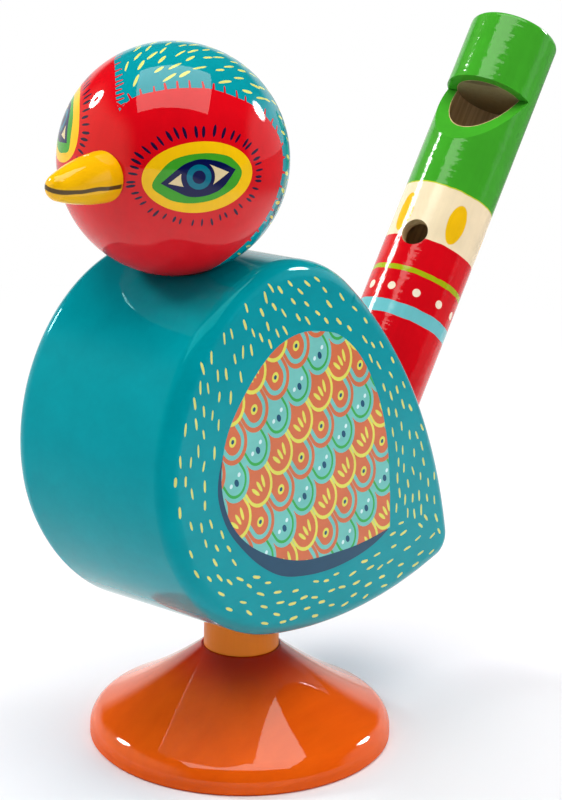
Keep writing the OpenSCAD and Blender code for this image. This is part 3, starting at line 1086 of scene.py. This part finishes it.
def make_floor():
    size = 6.0
    mesh = bpy.data.meshes.new("studio_floor")
    corners = [(-size, -size, 0), (size, -size, 0), (size, size, 0), (-size, size, 0)]
    mesh.from_pydata(corners, [], [(0, 1, 2, 3)])
    floor = link("studio_floor", mesh)
    t = surface("studio_floor")
    t.nt.nodes.remove(t.bsdf)
    seen = t.node("LightPath")
    mirrored = seen.outputs["Is Glossy Ray"]
    colour = t.mix(mirrored, (0.83, 0.83, 0.865, 1), (0.82, 0.82, 0.82, 1))
    matt = t.node("BsdfDiffuse", {0: colour})
    # The floor further off on the photo's right shows darker in the lacquer
    dim = t.step(t.dot(t.place(), (0.75, 0.66, 0)), 0.17, 0.30)
    in_gloss = t.mix(dim, (0.95, 0.92, 0.88, 1), (0.30, 0.30, 0.30, 1))
    glow = t.node("Emission", {0: t.mix(mirrored, (1, 1, 1, 1), in_gloss)})
    # The floor keeps the object's shadow near it, and glows white further off
    shown = t.math("MAXIMUM", seen.outputs["Is Camera Ray"], mirrored)
    reach = t.step(t.vec("LENGTH", t.place()), 0.05, 0.40)
    inputs = {0: t.times(shown, reach), 1: matt.outputs[0], 2: glow.outputs[0]}
    t.feed(t.out.inputs[0], t.node("MixShader", inputs).outputs[0])
    mesh.materials.append(t.mat)


LAMPS_AIM = np.array([0, 0, 0.08])


def lamp(name, az, el, distance, size, radiance, square=False, spin=0.0, only=None, hole=None, rim=None,
         place=None, tone=(1, 1, 1)):
    """A soft lamp that shines from a heading. radiance is what its face shows, 1 for white.

    only is "glossy" or "diffuse" for a lamp that the other rays miss. hole and rim are the parts of its half
    width where its face goes from dark to bright and back. place is its middle, if not on the heading.
    """
    data = bpy.data.lights.new(name, "AREA")
    data.shape, data.size = ("SQUARE" if square else "DISK"), size
    data.energy = radiance * math.pi * (size * size if square else math.pi * (size / 2) ** 2)
    data.color = tone
    if rim:
        data.use_nodes = True
        t = Tree(data.node_tree)
        face = t.node("NewGeometry").outputs["Parametric"]
        from_middle = t.vec("LENGTH", t.vec("MULTIPLY", t.vec("SUBTRACT", face, (0.5, 0.5, 0)), (2, 2, 0)))
        power = t.minus(1.0, t.step(from_middle, *rim))
        if hole:
            power = t.times(power, t.step(from_middle, *hole))
        t.feed(data.node_tree.nodes["Emission"].inputs["Strength"], power)
    way = heading(az, el)
    side, up = square_to(way)
    c, s = ray2(spin)
    obj = link(name, data)
    obj.matrix_world = pose(c * side + s * up, c * up - s * side, way, place or LAMPS_AIM + way * distance)
    obj.visible_camera = False
    if only == "glossy":
        obj.visible_diffuse = False
    elif only == "diffuse":
        obj.visible_glossy = False


def make_lamps():
    lamp("key_lamp", -70, 32, 1.7, 0.40, 34, only="diffuse")
    lamp("key_glint", -77, 32, 1.69, 0.38, 34, only="glossy", hole=(0.20, 0.38), rim=(0.88, 1.0))
    lamp("rear_lamp", 158, 25, 1.9, 0.32, 22, only="diffuse")
    lamp("rear_glint", 158, 25, 1.89, 0.46, 60, only="glossy", rim=(0.45, 1.0))
    lamp("ceiling_panel", 38, 63, 0, 1.30, 3.5, square=True, spin=35, place=(0.003, -0.006, 1.355),
         tone=(1, 0.965, 0.90))
    lamp("right_fill", 112, 30, 1.6, 1.1, 1.5, only="diffuse", tone=(1, 0.985, 0.94))


def make_world():
    """White to the camera, soft grey light on the object, and a studio of its own in the lacquer."""
    studio = bpy.data.worlds.new("studio")
    bpy.context.scene.world = studio
    studio.use_nodes = True
    t = Tree(studio.node_tree)
    t.nt.nodes.clear()
    way = t.node("TexCoord").outputs["Generated"]
    z = t.dot(way, Z_AXIS)
    # Level direction of each wall, where it starts and is full, its height and softness, and its colour:
    # one on the photo's left, one behind to the right and a low one behind, with dark between them
    mirrored = (0.05, 0.05, 0.05, 1)
    for toward, start, full, top, soft, colour in (
        ((-0.766, -0.643, 0), 0.54, 0.84, 0.62, 0.12, (1.0, 0.84, 0.66, 1)),
        ((0.50, 0.866, 0), 0.80, 0.92, 0.52, 0.14, (0.75, 0.76, 0.78, 1)),
        ((-0.60, 0.80, 0), 0.30, 0.75, 0.27, 0.09, (0.9, 0.9, 0.9, 1)),
    ):
        wall = t.times(t.step(t.dot(way, toward), start, full), t.under(z, top, soft))
        mirrored = t.mix(wall, mirrored, colour)
    seen = t.node("LightPath")
    colour = t.mix(seen.outputs["Is Glossy Ray"], (0.29, 0.31, 0.35, 1), mirrored)
    glow = t.node("Background", {0: t.mix(seen.outputs["Is Camera Ray"], colour, (1, 1, 1, 1))})
    t.node("OutputWorld", {0: glow.outputs[0]})


# ---------------- build

make_body(
    paint_material("body_lacquer_paint", Y_AXIS, coat=0.0, rough=0.05, tint=(0.05, 1.0, 1.0, 1.0)),
    wood("body_raw", RAW_WOOD, Y_AXIS),
)
make_head(
    paint_material("head_lacquer_paint", Z_AXIS, coat=0.75),
    wood("head_raw", RAW_WOOD, Z_AXIS),
)
dress("foot", foot_material())
satin = {"Specular IOR Level": 0.2, "Coat Weight": 0.15, "Coat Roughness": 0.3}
dress("stem", wood("stem_stain_orange", srgb(255, 134, 2), Z_AXIS, 0.86, 0.45, satin))
dress("beak", beak_material())
dress("whistle_tube", tube_material())
dress("fipple_block", wood("bare_beech", srgb(164, 148, 104), TUBE_UP))
dress("neck_dowel", wood("dowel_beech", srgb(206, 164, 116), NECK_UP))
make_floor()
make_lamps()
make_world()

scene = bpy.context.scene
scene.view_settings.view_transform = "Standard"
bpy.context.view_layer.update()
